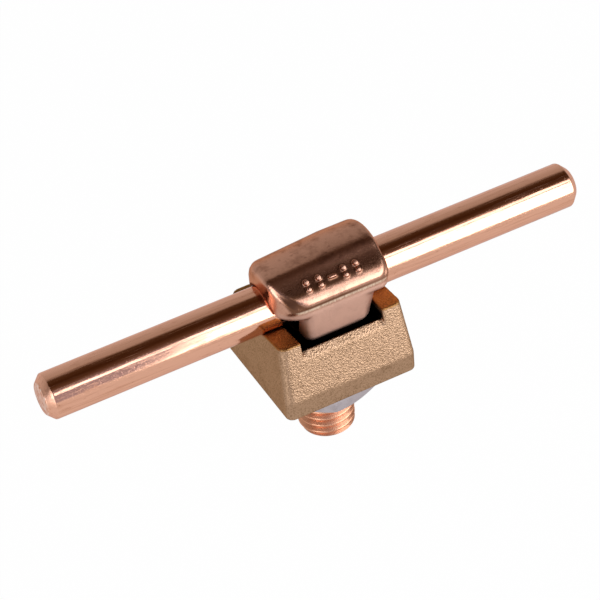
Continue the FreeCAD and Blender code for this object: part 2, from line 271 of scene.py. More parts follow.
def addShares(start, parts, shares):  # start and each named part times its share
    for name, share in shares.items():
        start = start + parts[name] * share
    return start


def wander(noise, reach):  # a noise, which lies round a half, swings to both sides of zero
    return (noise - 0.5) * reach


def makeMetal(sheet, finish, colour, parts):
    relief = addShares(0.0, parts, finish["relief"])
    bump = sheet.node(
        "ShaderNodeBump",
        values={"Strength": 1.0, "Distance": finish["bumpDepth"] * mm, "Height": relief},
    )
    values = {
        "Base Color": colour,
        "Metallic": 1.0,
        "Roughness": addShares(finish["roughness"], parts, finish["dulling"]),
        "Specular Tint": finish["rim"],
        "Normal": bump,
    }
    surface = sheet.node("ShaderNodeBsdfPrincipled", values=values)
    sheet.node("ShaderNodeOutputMaterial", values={"Surface": surface})


def dress(piece, material):
    piece.data.materials.clear()
    piece.data.materials.append(material)


# Round conductor

brightCopper = {
    "colour": (0.90, 0.48, 0.33, 1),
    "tarnish": (0.50, 0.20, 0.10, 1),
    "cut": (1.0, 0.86, 0.76, 1),        # painted highlight flecks on the saw marks of the end faces
    "rim": (0.86, 0.72, 0.68, 1),
    "patterns": {
        "lines": dict(size=0.10, stretch=(0.025, 1, 1), detail=3.0, roughness=0.6),
        "waves": dict(size=1.6, stretch=(0.12, 1, 1), detail=3.0, roughness=0.6),
        "pits": dict(size=0.45, stretch=(0.6, 1, 1), detail=1.0, low=0.70, high=0.80),
        "tarnish": dict(
            size=2.0, stretch=(0.4, 1, 1), detail=4.0, roughness=0.65, low=0.54, high=0.78
        ),
        "streaks": dict(
            size=0.35, stretch=(0.03, 1, 1), detail=3.0, roughness=0.65, low=0.50, high=0.70
        ),
        "speckle": dict(size=0.16, stretch=(0.7, 1, 1), roughness=0.6, low=0.60, high=0.74),
        "chips": dict(size=0.55, stretch=(1, 1, 0.4), detail=3.0, roughness=0.6),
    },
    "turnedFrom": (48.6, 48.8),         # the ends' chamfers, from the middle of the rod
    "sawnFrom": (49.75, 49.95),         # and its end faces
    "highlightFleckLevels": (0.42, 0.62),
    "highlightFleckShare": 0.7,
    "hollowLevels": (0.30, 0.42),
    "darkening": {"tarnish": 0.4, "pits": 0.4, "streaks": 0.35},
    "roughness": 0.05,
    "dulling": {"lines": 0.10, "tarnish": 0.10, "streaks": 0.20, "turned": 0.2},
    "relief": {"lines": 0.22, "waves": 1.2, "pits": -0.3, "speckle": 0.22, "sawnChips": 3.0},
    "bumpDepth": 0.016,
}


def makeBrightCopper():
    finish = brightCopper
    material = bpy.data.materials.new("bright_copper")
    sheet = Sheet(material)
    parts = sheet.patterns(finish["patterns"])
    chips = parts["chips"]
    along = abs(sheet.coordinate("X"))
    sawn = sheet.past(along, finish["sawnFrom"])
    parts["turned"] = sheet.past(along, finish["turnedFrom"])
    parts["sawnChips"] = sawn * chips
    # painted highlight: bright flecks on the saw marks of the end faces
    highlightFlecks = sawn * sheet.ease(chips, *finish["highlightFleckLevels"])
    hollows = sawn * (1 - sheet.ease(chips, *finish["hollowLevels"]))
    dark = addShares(0.0, parts, finish["darkening"])
    colour = sheet.blend(dark, finish["colour"], finish["tarnish"])
    colour = sheet.blend(highlightFlecks * finish["highlightFleckShare"], colour, finish["cut"])
    colour = sheet.blend(hollows, colour, finish["tarnish"])
    makeMetal(sheet, finish, colour, parts)
    return material


conductor = {
    "radius": 4.0,
    "halfLength": 50.0,
    "endChamfer": 1.3,
    "edgeRound": 0.2,
    "edgeSteps": 3,
    "edgeAngle": 30,
    "smoothAngle": 35,
}


def makeConductor():
    size = conductor
    end = size["halfLength"]
    rod = addRoundBar("round_conductor_rod", size["radius"], -end, end, axis="X")
    roundEdges(
        rod,
        lambda a, b: abs(a.x) > end - tiny and abs(a.x - b.x) < longEdge,
        size["endChamfer"],
        segments=1,
    )
    breakEdges(rod, size)
    shadeSmooth(rod, size["smoothAngle"])
    dress(rod, makeBrightCopper())
    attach(rod, "saddle")
    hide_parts("round_conductor")
    print("conductor made")


# Eye bolt

forgedCopper = {
    "colour": (0.66, 0.35, 0.245, 1),
    "dark": (0.20, 0.075, 0.045, 1),
    "skinAndPaintedBand": (0.13, 0.048, 0.019, 1),    # painted reflection: a dark band on the arch's sloping front and back
    "matte": (0.66, 0.40, 0.31, 1),     # the legs
    "rust": (0.50, 0.18, 0.06, 1),      # the legs' lower left corners
    "slotShade": (0.02, 0.010, 0.006, 1),    # painted shade on the legs' lower ends, down in the slot
    "rimHighlightColour": (1.0, 0.76, 0.58, 1),     # painted highlight along the arch's lower rim, above the legs
    "rim": (0.80, 0.50, 0.38, 1),
    "patterns": {
        "mottle": dict(size=2.4, detail=4.0, roughness=0.6),
        "grain": dict(size=0.35, detail=3.0, roughness=0.6),
        "strokes": dict(size=0.22, stretch=(1, 0.12, 0.12), detail=3.0, roughness=0.6),
        "scale": dict(
            size=0.9, stretch=(0.7, 1, 1), detail=3.0, roughness=0.6, low=0.56, high=0.74
        ),
    },
    "stainLevels": (0.45, 0.75),
    "darkening": {"stains": 0.5, "scale": 0.35},
    # painted reflection: the arch's sloping front and back are darkened as if reflecting a dark
    # room
    "flanks": {
        "tilt": (0.42, 0.90),       # radians from straight up, seen along the conductor
        "wander": 0.2,
        "fadeTilt": (0.95, 1.22),   # further down the painted band is a little lighter
        "fadeShare": 0.14,
        "height": (2.5, 2.9),
        "right": (1.0, 8.0),        # and it fades to the right
        "rightShare": 0.38,
        "spoke": (7.5, 8.0),        # distance from the conductor's axis
        "raised": (8.5, 8.68),      # the pips and the dash are left out of the painted band
        "raisedShare": 0.85,
        "share": 0.92,
    },
    "legs": {
        "height": (1.9, 2.6),
        "share": 0.8,
        "slotShadeHeight": (-4.3, -3.6),
        "rustLeft": (5.4, 6.9),
        "rustWander": 1.5,
        "rustHeight": (-2.6, 0.6),
        "rustShare": 0.8,
    },
    # painted highlight: a thin bright line along the lower rim of the arch's front and back
    "rimHighlight": {
        "from": (2.35, 2.65),
        "wander": 0.6,
        "to": (2.85, 3.2),
        "aside": (7.3, 7.6),
        "strokeLevels": (0.35, 0.6),
        "strokeShare": 0.45,
        "share": 0.5,
    },
    "roughness": 0.21,
    "dulling": {"grain": 0.08, "legs": 0.24, "flanks": 0.04},
    "relief": {"grain": 0.45, "mottle": 0.8, "scale": -0.3, "strokes": 0.35},
    "bumpDepth": 0.030,
}


def makeForgedCopper():
    finish = forgedCopper
    skinAndPaintedBand, legs, rimLine = finish["flanks"], finish["legs"], finish["rimHighlight"]
    material = bpy.data.materials.new("forged_copper")
    sheet = Sheet(material)
    parts = sheet.patterns(finish["patterns"])
    mottle, grain = parts["mottle"], parts["grain"]
    across = sheet.coordinate("X")
    high = sheet.coordinate("Z")
    aside = abs(sheet.coordinate("Y"))
    inPlane = sheet.place((0, 1, 1))
    spoke = sheet.node("ShaderNodeVectorMath", {"operation": "LENGTH"}, {0: inPlane}, out="Value")

    # painted reflection: a dark band set by how far the arch's surface leans from straight up
    tilt = sheet.maths("ARCTAN2", aside, high) + wander(mottle, skinAndPaintedBand["wander"])
    flank = sheet.ease(tilt, *skinAndPaintedBand["tilt"])
    flank = flank * (1 - sheet.ease(tilt, *skinAndPaintedBand["fadeTilt"]) * skinAndPaintedBand["fadeShare"])
    flank = flank * sheet.past(high, skinAndPaintedBand["height"])
    flank = flank * (1 - sheet.past(across, skinAndPaintedBand["right"]) * skinAndPaintedBand["rightShare"])
    flank = flank * sheet.past(spoke, skinAndPaintedBand["spoke"])
    flank = flank * (1 - sheet.past(spoke, skinAndPaintedBand["raised"]) * skinAndPaintedBand["raisedShare"])
    below = 1 - sheet.past(high, legs["height"])
    rust = sheet.past(mottle * legs["rustWander"] * mm - across, legs["rustLeft"])
    rust = rust * (1 - sheet.past(high, legs["rustHeight"]))
    # painted shade: the legs are made near black below the slot's rim
    slotShade = 1 - sheet.past(high, legs["slotShadeHeight"])
    # painted highlight along the lower rim, broken up by grain and strokes
    edge = sheet.past(high + wander(grain, rimLine["wander"]) * mm, rimLine["from"])
    edge = edge * (1 - sheet.past(high, rimLine["to"])) * sheet.past(aside, rimLine["aside"])
    stroke = sheet.ease(parts["strokes"], *rimLine["strokeLevels"])
    edge = edge * (stroke * rimLine["strokeShare"] + rimLine["share"])

    parts["stains"] = sheet.ease(mottle, *finish["stainLevels"])
    parts["flanks"] = flank
    parts["legs"] = below
    dark = addShares(0.0, parts, finish["darkening"])
    colour = sheet.blend(dark, finish["colour"], finish["dark"])
    colour = sheet.blend(flank * skinAndPaintedBand["share"], colour, finish["skinAndPaintedBand"])
    colour = sheet.blend(below * legs["share"], colour, finish["matte"])
    colour = sheet.blend(rust * legs["rustShare"], colour, finish["rust"])
    colour = sheet.blend(slotShade, colour, finish["slotShade"])
    colour = sheet.blend(edge, colour, finish["rimHighlightColour"])
    makeMetal(sheet, finish, colour, parts)
    return material


eyeBolt = {
    "crownLeft": 10.2,
    "crownRight": 10.6,
    "crownHalfWidth": 7.8,
    "crownRadius": 8.4,
    "archSegments": 256,
    "leftCorner": 5.5,
    "leftSteps": 16,
    "rightCorner": 2.2,
    "rightSteps": 10,
    "crownUnderside": 0.8,
    "lowerRound": 0.8,
    "lowerSteps": 5,
    "legLeft": 5.9,
    "legRight": 6.7,
    "legCorner": 2.0,
    "legSteps": 8,
    "legOverlap": 0.3,          # how far the legs go up into the crown, past its rounded edge
    "shoulderFrontTop": -3.58,
    "shoulderEndTop": -2.18,
    "shoulderCornerTop": -3.38,
    "shoulderLow": -6.98,
    "ledgeRadius": 5.25,
    "cornerLedgeRadius": 5.6,
    "coneReach": 3,             # times the shoulder's height, for the cone that cuts its corners
    "eyeRadius": 5.0,
    "eyeHeight": -0.88,
    "eyeSegments": 160,
    "shankRadius": 5.0,
    "shankOverlap": 0.6,
    "threadTop": -15.48,
    "shankLow": -30.78,
    "voxel": 0.155,
    "wearRounds": 12,
    "smoothRounds": 5,
}


def makeCrown():
    size = eyeBolt
    left, right = size["crownLeft"], size["crownRight"]
    wide, low, radius = size["crownHalfWidth"], size["crownUnderside"], size["crownRadius"]
    crown = addBlock("crown", (-left, -wide, low), (right, wide, radius + beyond))
    roundEdges(
        crown, lambda a, b: isUpright(a, b) and a.x < 0, size["leftCorner"], size["leftSteps"]
    )
    roundEdges(
        crown,
        lambda a, b: isUpright(a, b) and min(a.x, b.x) > right - tiny,
        size["rightCorner"],
        size["rightSteps"],
    )
    roundEdges(
        crown, lambda a, b: max(a.z, b.z) < low + tiny, size["lowerRound"], size["lowerSteps"]
    )
    arch = addRoundBar(
        "arch", radius, -left - beyond, right + beyond, size["archSegments"], axis="X"
    )
    combine(crown, arch, "INTERSECT")
    return crown


def makeLegs():
    size = eyeBolt
    left, right = size["legLeft"], size["legRight"]
    width, corner = size["crownHalfWidth"], size["legCorner"]
    low, ledge = size["shoulderLow"], size["ledgeRadius"]
    top = size["crownUnderside"] + size["lowerRound"] + size["legOverlap"]
    legs = addBlock("legs", (-left, -width, low), (right, width, top))
    roundEdges(legs, isUpright, corner, size["legSteps"])
    frontTop, endTop = size["shoulderFrontTop"], size["shoulderEndTop"]
    for side, length in ((-1, left), (1, right)):
        sliceOff(legs, (0, side * width, frontTop), (0, side * (frontTop - low), ledge - width))
        sliceOff(legs, (side * length, 0, endTop), (side * (endTop - low), 0, ledge - length))
    # a cone cuts the shoulder's corners
    cornerLedge = size["cornerLedgeRadius"]
    reach = math.hypot(right - corner, width - corner) + corner
    high = low + size["coneReach"] * (size["shoulderCornerTop"] - low)
    wide = cornerLedge + size["coneReach"] * (reach - cornerLedge)
    cone = addRoundBar("cone", cornerLedge, low, high, radiusAtHigh=wide)
    combine(legs, cone, "INTERSECT")
    return legs


frontPips = {
    "angle": 43.0,      # from straight up towards the front
    "left": -4.0,
    "spacing": 2.3,
    "count": 5,         # the middle one is a dash
    "rise": 0.32,
    "worn": 0.2,        # what smoothing takes off their tops
    "root": 0.8,
    "pip": 0.46,
    "pipSegments": 24,
    "apart": 0.62,
    "dash": 0.75,
}


def addFrontPips(head):  # two pairs of raised pips on each side of a dash
    size = frontPips
    radius = eyeBolt["crownRadius"]
    low, high = radius - size["root"], radius + size["rise"] + size["worn"]
    turn = Matrix.Rotation(math.radians(size["angle"]), 4, "X")
    for number in range(size["count"]):
        middle = size["left"] + number * size["spacing"]
        if number == size["count"] // 2:
            dash, thick = size["dash"], size["pip"] / 2
            raised = [addBlock("dash", (middle - dash, -thick, low), (middle + dash, thick, high))]
        else:
            raised = [
                addRoundBar("pip", size["pip"], low, high, size["pipSegments"], across=(middle, up))
                for up in (-size["apart"], size["apart"])
            ]
        for piece in raised:
            piece.data.transform(turn)
            combine(head, piece, "UNION")


forging = {
    # how far the crown's front stands out from the round, by degrees from straight up
    "front": ((16, 0), (33, -0.26), (65, 0.42), (74, 0)),
    "taper": 0.8,               # how far the back of the crown sinks at the left end
    "taperFrom": 4.0,
    "behind": (-10, 35),        # degrees over which that fades out towards the front
    "innerSkin": 0.8,           # metal this near the eye stays
    "outerSkin": 0.6,           # and this near the arch moves in full
    "endRound": 1.1,            # rounding of the arch's edge at the ends
    "sideRound": 0.6,           # and along the front and back
    "legFlare": 1.1,            # how far the legs' right side leans out towards the crown
    "flareRise": (-3.4, 0.8),
    "flareTop": (0.8, 2.5),
    "flareFrom": (4.5, 6.5),
    "flareTo": (7.0, 9.5),
}


def shareBetween(value, low, high):
    return min(1, max(0, (value - low) / (high - low)))


def easeBetween(value, low, high):
    share = shareBetween(value, low, high)
    return share * share * (3 - 2 * share)


def standOut(angle):
    total = 0
    points = forging["front"]
    for (low, first), (high, second) in zip(points, points[1:]):
        total += (second - first) * easeBetween(angle, low, high)
    return total


def insideOutline(x, y):  # how far inside the crown's outline from above, and which way out is
    size = eyeBolt
    corner = size["leftCorner"] if x < 0 else size["rightCorner"]
    pastX = abs(x) - (size["crownLeft"] if x < 0 else size["crownRight"]) + corner
    pastY = abs(y) - size["crownHalfWidth"] + corner
    if max(pastX, pastY) <= 0:
        return corner - max(pastX, pastY), Vector((0, 0, 0))
    if pastX > 0 and pastY > 0:
        out = Vector((pastX, pastY, 0))
    elif pastX > pastY:
        out = Vector((pastX, 0, 0))
    else:
        out = Vector((0, pastY, 0))
    way = out.normalized()
    return corner - out.length, Vector((math.copysign(way.x, x), math.copysign(way.y, y), 0))


def roundArchEdge(head):  # wears the edge between the arch and the crown's sides round
    size = forging
    for vertex in head.data.vertices:
        place = vertex.co / mm
        if place.z <= eyeBolt["crownUnderside"]:
            continue
        depth, out = insideOutline(place.x, place.y)
        spoke = Vector((0, place.y, place.z))
        below = eyeBolt["crownRadius"] - spoke.length
        reach = size["sideRound"] + (size["endRound"] - size["sideRound"]) * abs(out.x)
        fromCentre = Vector((reach - depth, reach - below))
        if out.length and min(fromCentre) > 0 and fromCentre.length > reach:
            back = fromCentre * (1 - reach / fromCentre.length)
            vertex.co -= (out * back.x + spoke.normalized() * back.y) * mm


def shapeForging(head):  # the crown isn't quite round, as it left the hammer
    size = forging
    inner = eyeBolt["eyeRadius"] + size["innerSkin"]
    outer = eyeBolt["crownRadius"] - size["outerSkin"]
    left = -eyeBolt["crownLeft"]
    for vertex in head.data.vertices:
        x, y, z = vertex.co / mm
        flare = easeBetween(z, *size["flareRise"]) * (1 - easeBetween(z, *size["flareTop"]))
        flare = flare * easeBetween(x, *size["flareFrom"]) * (1 - easeBetween(x, *size["flareTo"]))
        vertex.co.x += size["legFlare"] * flare * mm
        if z > 0:
            radius = math.hypot(y, z)
            angle = math.degrees(math.atan2(-y, z))
            share = easeBetween(radius, inner, outer)
            taper = size["taper"] * shareBetween(x, size["taperFrom"], left)
            move = standOut(angle) - taper * (1 - easeBetween(angle, *size["behind"]))
            vertex.co.y += y / radius * move * share * mm
            vertex.co.z += z / radius * move * share * mm


def makeBoltHead():
    size = eyeBolt
    head = makeCrown()
    head.name = "eye_bolt_head"
    combine(head, makeLegs(), "UNION")
    shankTop = size["shoulderLow"] + size["shankOverlap"]
    combine(head, addRoundBar("shank", size["shankRadius"], size["threadTop"], shankTop), "UNION")
    far = size["crownRight"] + beyond
    middle = (0, size["eyeHeight"])
    eye = addRoundBar(
        "eye", size["eyeRadius"], -far, far, size["eyeSegments"], across=middle, axis="X"
    )
    combine(head, eye, "DIFFERENCE")
    coverEvenly(head, size["voxel"])
    roundArchEdge(head)
    wearDown(head, size["wearRounds"])
    shapeForging(head)
    addFrontPips(head)
    coverEvenly(head, size["voxel"])
    wearDown(head, size["smoothRounds"])
    dress(head, makeForgedCopper())
    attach(head, "bolt")
    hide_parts("eye_bolt")
    print("bolt head made")


# Thread

threadCopper = {
    "colour": (0.80, 0.39, 0.235, 1),
    "dark": (0.48, 0.20, 0.11, 1),
    # the tip's chamfer gets a painted highlight
    "tip": (0.93, 0.70, 0.58, 1),
    "rim": (0.85, 0.55, 0.42, 1),
    "patterns": {
        "grain": dict(size=0.2, stretch=(1, 1, 3)),
        "stains": dict(size=1.5, detail=3.0, low=0.45, high=0.8),
    },
    "darkening": {"stains": 0.5},
    "tipHighlightHeight": (-30.6, -30.0),
    "tipHighlightShare": 0.8,
    "roughness": 0.30,
    "dulling": {"grain": 0.15},
    "relief": {"grain": 1.0},
    "bumpDepth": 0.012,
}


def makeThreadCopper():
    finish = threadCopper
    material = bpy.data.materials.new("rolled_thread_copper")
    sheet = Sheet(material)
    parts = sheet.patterns(finish["patterns"])
    dark = addShares(0.0, parts, finish["darkening"])
    # painted highlight on the chamfer at the tip
    tip = 1 - sheet.past(sheet.coordinate("Z"), finish["tipHighlightHeight"])
    colour = sheet.blend(dark, finish["colour"], finish["dark"])
    colour = sheet.blend(tip * finish["tipHighlightShare"], colour, finish["tip"])
    makeMetal(sheet, finish, colour, parts)
    return material


thread = {
    "pitch": 1.5,
    "rootRadius": 4.15,
    "crestRadius": 4.99,
    # one pitch of the outline: how far out as a share of the depth, and how far up
    "profile": (
        (0, 0), (0, 0.1), (0.86, 0.5), (1, 0.66), (1, 0.84), (0.86, 1.0), (0, 1.4), (0, 1.5)
    ),
    "turns": 16,
    "spareTurns": 2,            # below the shank's end, where they are sliced off
    "stepsPerTurn": 72,
    "weld": 0.002,
    "tipChamfer": 0.9,
    "tipReach": 30,             # height of the cone that cuts the chamfer
    "edgeRound": 0.06,
    "edgeSteps": 2,
    "edgeAngle": 25,
    "smoothAngle": 40,
}


def makeThread():
    size = thread
    pitch, low = size["pitch"], eyeBolt["shankLow"]
    start = low - size["spareTurns"] * pitch
    depth = size["crestRadius"] - size["rootRadius"]
    deselectAll()
    bpy.ops.mesh.primitive_circle_add(vertices=len(size["profile"]), radius=mm)
    screw = takeNew("eye_bolt_thread")
    for vertex, (out, up) in zip(screw.data.vertices, size["profile"]):
        vertex.co = Vector((size["rootRadius"] + out * depth, 0, start + up)) * mm
    pick(screw, "EDGE", lambda a, b: abs(a.z - b.z) > pitch - tiny)
    bpy.ops.mesh.delete(type="EDGE")
    leaveEditMode()
    finishWith(
        screw,
        "SCREW",
        axis="Z",
        angle=2 * math.pi,
        screw_offset=pitch * mm,
        iterations=size["turns"],
        steps=size["stepsPerTurn"],
        render_steps=size["stepsPerTurn"],
        use_normal_calculate=True,
    )
    pickAll(screw)
    bpy.ops.mesh.remove_doubles(threshold=size["weld"] * mm)
    leaveEditMode()
    sliceOff(screw, (0, 0, eyeBolt["threadTop"]), (0, 0, 1))
    sliceOff(screw, (0, 0, low), (0, 0, -1))
    pickAll(screw)
    bpy.ops.mesh.normals_make_consistent(inside=False)
    leaveEditMode()
    tip = eyeBolt["shankRadius"] - size["tipChamfer"]
    reach = size["tipReach"]
    cone = addRoundBar("tip", tip - beyond, low - beyond, low + reach, radiusAtHigh=tip + reach)
    combine(screw, cone, "INTERSECT", "MANIFOLD")
    breakEdges(screw, size)
    shadeSmooth(screw, size["smoothAngle"])
    dress(screw, makeThreadCopper())
    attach(screw, "bolt")
    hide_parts("eye_bolt")
    print("thread made")


# Saddle

saddle = {
    "footHalf": (12.3, 11.5),
    "topHalf": (11.4, 9.0),
    "footTop": -12.28,
    "low": -15.78,
    "top": -2.12,
    "corner": 1.3,
    "cornerSteps": 8,
    "grooveRadius": 5.0,
    "grooveHeight": 0.98,
    "grooveSegments": 160,
    "grooveEdgeHeight": -2.862,
    "grooveHalfWidth": 3.2,
    "slotHalf": (7.65, 8.6),
    "slotLow": -12.48,
    "slotCorner": 1.5,
    "slotSteps": 6,
    "notchLow": -4.02,
    "wallFall": 1.3,            # how far the low walls' tops slope down to the outside
    "cutterRise": 3.0,          # how far the cutters for the slot and notch stand above the top
    "holeRadius": 5.5,
    "voxel": 0.2,
    "smoothRounds": 5,
}


def findTopSlope():  # the horns' tops slope down a little from the outside to the groove
    size = saddle
    run = size["topHalf"][1] - size["grooveHalfWidth"]
    return (size["top"] - size["grooveEdgeHeight"]) / run


castBronze = {
    "colour": (0.515, 0.315, 0.195, 1),
    "dark": (0.24, 0.135, 0.07, 1),
    "shadedCopperReflection": (0.34, 0.155, 0.045, 1),      # painted shade and painted reflection of the copper on the horns' tops
    "slotShade": (0.004, 0.0025, 0.0015, 1),     # painted shade inside the slot
    "rim": (0.58, 0.45, 0.36, 1),
    "patterns": {
        "grain": dict(size=0.27),
        "fine": dict(size=0.14),
        "patches": dict(size=4.0, detail=3.0),
    },
    "pitLevels": (0.36, 0.52),
    "stainLevels": (0.5, 0.8),
    "darkening": {"pits": 0.55, "stains": 0.3},
    "crestDepth": (-0.45, -0.20),           # from the horns' tops
    "crestWander": 0.5,
    "crestShare": 0.9,
    "slotAlong": (7.7, 7.95),
    "slotAside": (8.62, 8.85),
    "slotHeight": (-3.6, -3.0),
    "coarseHeight": (-12.9, -11.4),         # the band at the foot is smoother
    "coarseWander": 1.4,
    "coarseLeft": (-11.9, -10.6),           # and so is the left side
    "coarseShare": 0.8,
    "calmShare": 0.2,
    "roughness": 0.31,
    "dulling": {"pits": 0.12},
    "relief": {"skinAndPaintedBand": 1.0, "fine": 0.2},
    "bumpDepth": 0.15,
}


def makeCastBronze():
    finish = castBronze
    material = bpy.data.materials.new("cast_bronze")
    sheet = Sheet(material)
    parts = sheet.patterns(finish["patterns"])
    grain, patches = parts["grain"], parts["patches"]
    across = sheet.coordinate("X")
    height = sheet.coordinate("Z")
    along, aside = abs(across), abs(sheet.coordinate("Y"))

    uneven = height + wander(patches, finish["coarseWander"]) * mm
    coarse = sheet.past(uneven, finish["coarseHeight"]) * sheet.past(across, finish["coarseLeft"])
    parts["skinAndPaintedBand"] = grain * (coarse * finish["coarseShare"] + finish["calmShare"])
    parts["pits"] = 1 - sheet.ease(grain, *finish["pitLevels"])
    parts["stains"] = sheet.ease(patches, *finish["stainLevels"])
    # painted shade and copper reflection on the horns' tops beside the conductor
    slope = findTopSlope()
    topHeight = aside * slope + (saddle["top"] - slope * saddle["topHalf"][1]) * mm
    grainy = height + wander(grain, finish["crestWander"]) * mm
    crest = sheet.past(grainy - topHeight, finish["crestDepth"])
    # painted shade: the slot's inside is made near black
    slot = 1 - sheet.past(along, finish["slotAlong"])
    slot = slot * (1 - sheet.past(aside, finish["slotAside"]))
    slot = slot * (1 - sheet.past(height, finish["slotHeight"]))

    dark = addShares(0.0, parts, finish["darkening"])
    colour = sheet.blend(dark, finish["colour"], finish["dark"])
    colour = sheet.blend(crest * finish["crestShare"], colour, finish["shadedCopperReflection"])
    colour = sheet.blend(slot, colour, finish["slotShade"])
    makeMetal(sheet, finish, colour, parts)
    return material


def makeSaddle():
    size = saddle
    footX, footY = size["footHalf"]
    topX, topY = size["topHalf"]
    top, low, footTop = size["top"], size["low"], size["footTop"]
    block = addBlock("saddle_casting", (-footX, -footY, footTop), (footX, footY, top))
    pick(block, "FACE", lambda centre, normal: centre.z > top - tiny)
    bpy.ops.transform.resize(value=(topX / footX, topY / footY, 1))
    leaveEditMode()
    pick(block, "FACE", lambda centre, normal: centre.z < footTop + tiny)
    bpy.ops.mesh.extrude_region_move(TRANSFORM_OT_translate={"value": (0, 0, (low - footTop) * mm)})
    leaveEditMode()
    roundEdges(block, isUpright, size["corner"], size["cornerSteps"])

    far, rise = footX + beyond, size["cutterRise"]
    valley = addBlock("valley", (-far, -footY, top), (far, footY, top + 2 * rise))
    pick(valley, "EDGE", lambda a, b: abs(a.y - b.y) > longEdge and a.z < top + tiny)
    bpy.ops.mesh.subdivide(number_cuts=1)
    leaveEditMode()
    for vertex in valley.data.vertices:
        if vertex.co.z < (top + tiny) * mm:
            vertex.co.z = (top + findTopSlope() * (abs(vertex.co.y / mm) - topY)) * mm
    combine(block, valley, "DIFFERENCE")
    middle = (0, size["grooveHeight"])
    groove = addRoundBar(
        "groove", size["grooveRadius"], -far, far, size["grooveSegments"], across=middle, axis="X"
    )
    combine(block, groove, "DIFFERENCE")

    slotX, slotY = size["slotHalf"]
    slot = addBlock("slot", (-slotX, -slotY, size["slotLow"]), (slotX, slotY, top + rise))
    roundEdges(slot, isUpright, size["slotCorner"], size["slotSteps"])
    combine(block, slot, "DIFFERENCE")
    past, notchLow = footY + beyond, size["notchLow"]
    notch = addBlock("notch", (-slotX, -past, notchLow), (slotX, past, top + rise))
    combine(block, notch, "DIFFERENCE")
    lean = (footY - topY) / (top - footTop)
    fall = size["wallFall"]
    for side in (-1, 1):  # the low walls' tops slope down to the outside
        pick(block, "VERT", lambda p: abs(p.z - notchLow) < tiny and p.y * side > topY)
        bpy.ops.transform.translate(value=(0, side * lean * fall * mm, -fall * mm))
        leaveEditMode()
    hole = addRoundBar("hole", size["holeRadius"], low - beyond, size["slotLow"] + beyond)
    combine(block, hole, "DIFFERENCE")

    coverEvenly(block, size["voxel"])
    wearDown(block, size["smoothRounds"])
    dress(block, makeCastBronze())
    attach(block, "saddle")
    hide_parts("saddle_body")
    print("saddle made")


# Nut

platedSteel = {
    "colour": (0.60, 0.53, 0.55, 1),
    "worn": (0.42, 0.36, 0.37, 1),
    "rim": (0.7, 0.66, 0.68, 1),
    "patterns": {
        "cloud": dict(size=1.8, detail=4.0, roughness=0.6),
        "grain": dict(size=0.14, stretch=(1, 1, 0.3)),
    },
    "wornLevels": (0.45, 0.75),
    "wornShare": 0.6,
    "roughness": 0.32,
    "dulling": {"cloud": 0.1},
    "relief": {"grain": 1.0},
    "bumpDepth": 0.012,
}


def makePlatedSteel():
    finish = platedSteel
    material = bpy.data.materials.new("plated_steel")
    sheet = Sheet(material)
    parts = sheet.patterns(finish["patterns"])
    worn = sheet.ease(parts["cloud"], *finish["wornLevels"]) * finish["wornShare"]
    colour = sheet.blend(worn, finish["colour"], finish["worn"])
    makeMetal(sheet, finish, colour, parts)
    return material


nut = {
    "sides": 6,
    "acrossFlats": 17.0,
    "top": -15.78,
    "low": -20.98,
    "cornerAngle": 15.0,
    "faceRadius": 8.1,
    "chamferAngle": 30.0,
    "coneSegments": 96,
    "boreRadius": 5.05,
    "mouth": 0.4,
    "edgeRound": 0.12,
    "edgeSteps": 2,
    "edgeAngle": 22,
    "smoothAngle": 30,
}


def makeNut():
    size = nut
    top, low, segments = size["top"], size["low"], size["coneSegments"]
    over, under = top + beyond, low - beyond
    deselectAll()
    bpy.ops.mesh.primitive_cylinder_add(
        vertices=size["sides"],
        radius=size["acrossFlats"] / math.sqrt(3) * mm,
        depth=(top - low) * mm,
        location=(0, 0, (top + low) / 2 * mm),
        rotation=(0, 0, math.radians(size["cornerAngle"] - 180 / size["sides"])),
    )
    hexagon = takeNew("hex_nut_turned")
    # a cone from each face turns the corners
    slope = 1 / math.tan(math.radians(size["chamferAngle"]))
    narrow = size["faceRadius"] - slope * beyond
    wide = size["faceRadius"] + slope * (top - low + beyond)
    for name, below, above in (("upper", wide, narrow), ("lower", narrow, wide)):
        cone = addRoundBar(name, below, under, over, segments, above)
        combine(hexagon, cone, "INTERSECT", "MANIFOLD")
    bore = addRoundBar("bore", size["boreRadius"], under, over, segments)
    combine(hexagon, bore, "DIFFERENCE", "MANIFOLD")

    def onMouth(point):
        return point.xy.length < size["boreRadius"] + tiny

    roundEdges(
        hexagon,
        lambda a, b: abs(a.z - b.z) < tiny and onMouth(a) and onMouth(b),
        size["mouth"],
        segments=1,
    )
    breakEdges(hexagon, size)
    shadeSmooth(hexagon, size["smoothAngle"])
    dress(hexagon, makePlatedSteel())
    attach(hexagon, "nut")
    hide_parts("hex_nut")
    print("nut made")


makeConductor()
makeBoltHead()
makeThread()
makeSaddle()
makeNut()


# Studio, with its lengths in metres

studio = {
    "floorHeight": -0.12,
    "floorSize": 8.0,
    "floorColour": (0.93, 0.93, 0.93, 1),
    "floorShine": 0.74,         # how bright metal sees the floor
    "shadowShare": 0.01,        # how much of the object's shadow the camera sees on the white floor
    "backdrop": (1, 1, 1, 1),
    "lampColour": (0.90, 0.97, 1.0),
    # brightness of the room round the conductor, by degrees from straight up towards the front
    "room": (
        (-180, (0.6, 0.6, 0.6, 1)),
        (-75, (0.58, 0.58, 0.58, 1)),
        (-50, (0.46, 0.44, 0.42, 1)),
        (-27, (0.40, 0.37, 0.34, 1)),
        (-18, (0.075, 0.040, 0.018, 1)),
        (6, (0.045, 0.018, 0.006, 1)),
        (22, (0.085, 0.045, 0.022, 1)),
        (36, (0.17, 0.12, 0.10, 1)),
        (44, (0.36, 0.36, 0.46, 1)),
        (112, (0.44, 0.44, 0.54, 1)),
        (180, (0.7, 0.7, 0.7, 1)),
    ),
}


